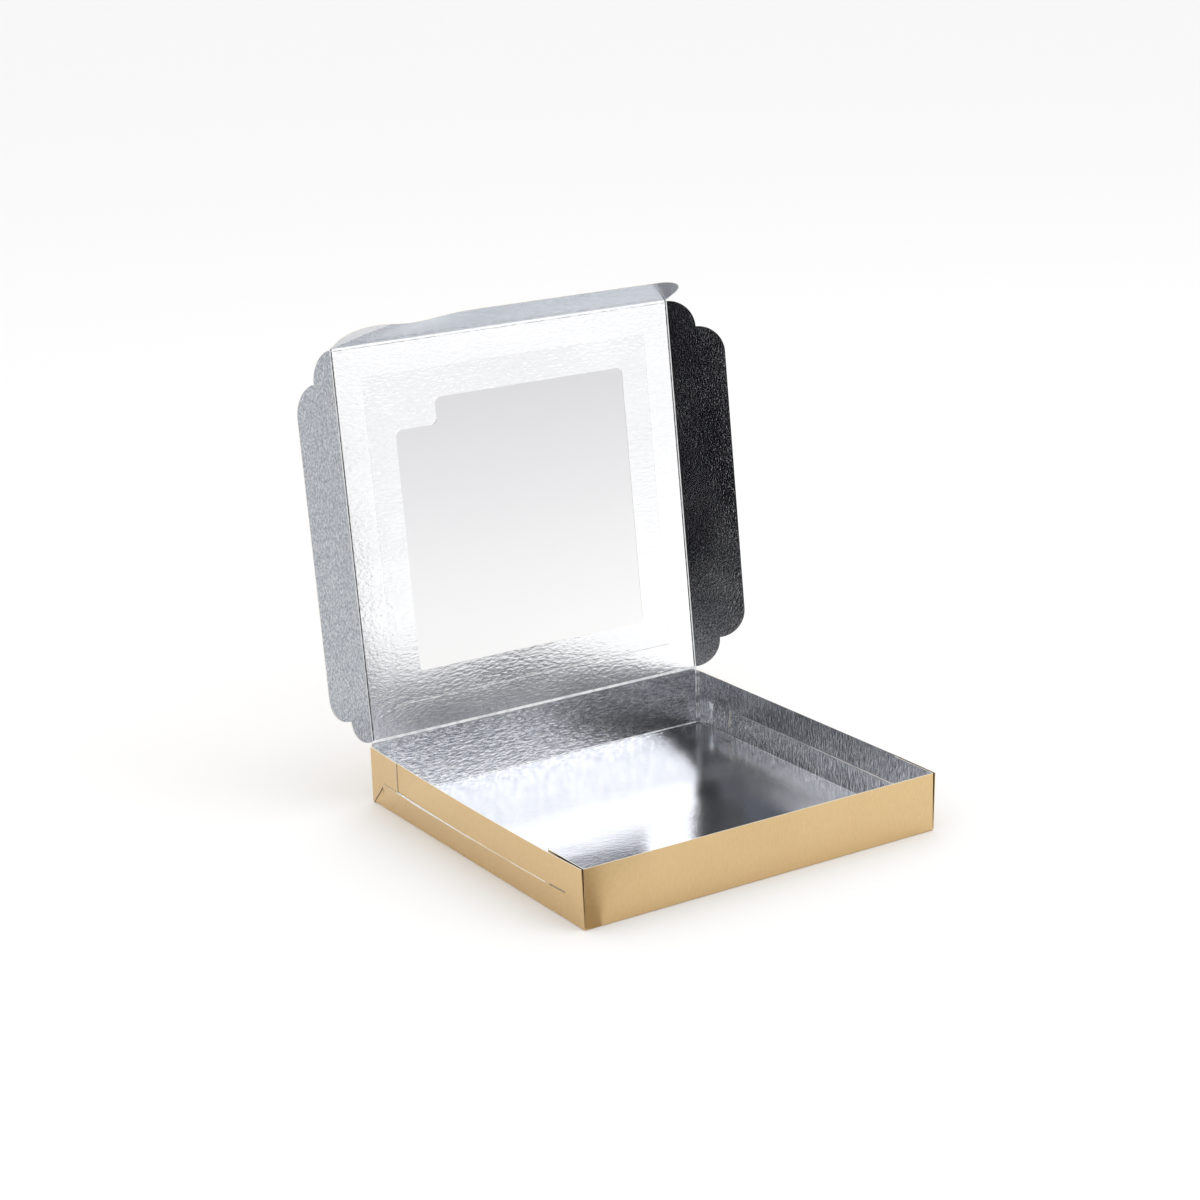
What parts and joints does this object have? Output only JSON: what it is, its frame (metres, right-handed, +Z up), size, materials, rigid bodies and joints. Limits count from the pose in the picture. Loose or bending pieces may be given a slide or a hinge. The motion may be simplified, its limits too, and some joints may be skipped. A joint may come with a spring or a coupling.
{
  "type": "folding carton with window lid",
  "caption": "Shallow square folded board box with a hinged window lid, two scalloped side flaps and a tuck flap.",
  "frame": {"origin": "centre of the tray's underside", "axes": "+X to the right along the front wall, +Y to the lid's hinge, +Z up"},
  "size_m": [0.3185, 0.2805, 0.31],
  "materials": {
    "foil_board": "paperboard with gold foil outside and silver foil inside",
    "clear_film": "clear glossy plastic film"
  },
  "bodies": {
    "tray": {"tray": "foil_board"},
    "lid": {"lid_panel": "foil_board", "window_film": "clear_film"},
    "left_flap": {"left_flap": "foil_board"},
    "right_flap": {"right_flap": "foil_board"},
    "tuck_flap": {"tuck_flap": "foil_board"}
  },
  "joints": [
    {"name": "lid_hinge", "type": "hinge", "parent": "tray", "child": "lid", "pos_m": [0, 0.12675, 0.0396], "axis": [1, 0, 0], "range_deg": [-84, 95.75]},
    {"name": "left_fold", "type": "hinge", "parent": "lid", "child": "left_flap", "pos_m": [-0.12545, 0.12675, 0.0396], "axis": [0, 0.1045, 0.9945], "range_deg": [-24, 66]},
    {"name": "right_fold", "type": "hinge", "parent": "lid", "child": "right_flap", "pos_m": [0.12545, 0.12675, 0.0396], "axis": [0, -0.1045, -0.9945], "range_deg": [-26, 64]},
    {"name": "tuck_fold", "type": "hinge", "parent": "lid", "child": "tuck_flap", "pos_m": [0, 0.15316, 0.29092], "axis": [1, 0, 0], "range_deg": [-65.5, 24.5]}
  ]
}
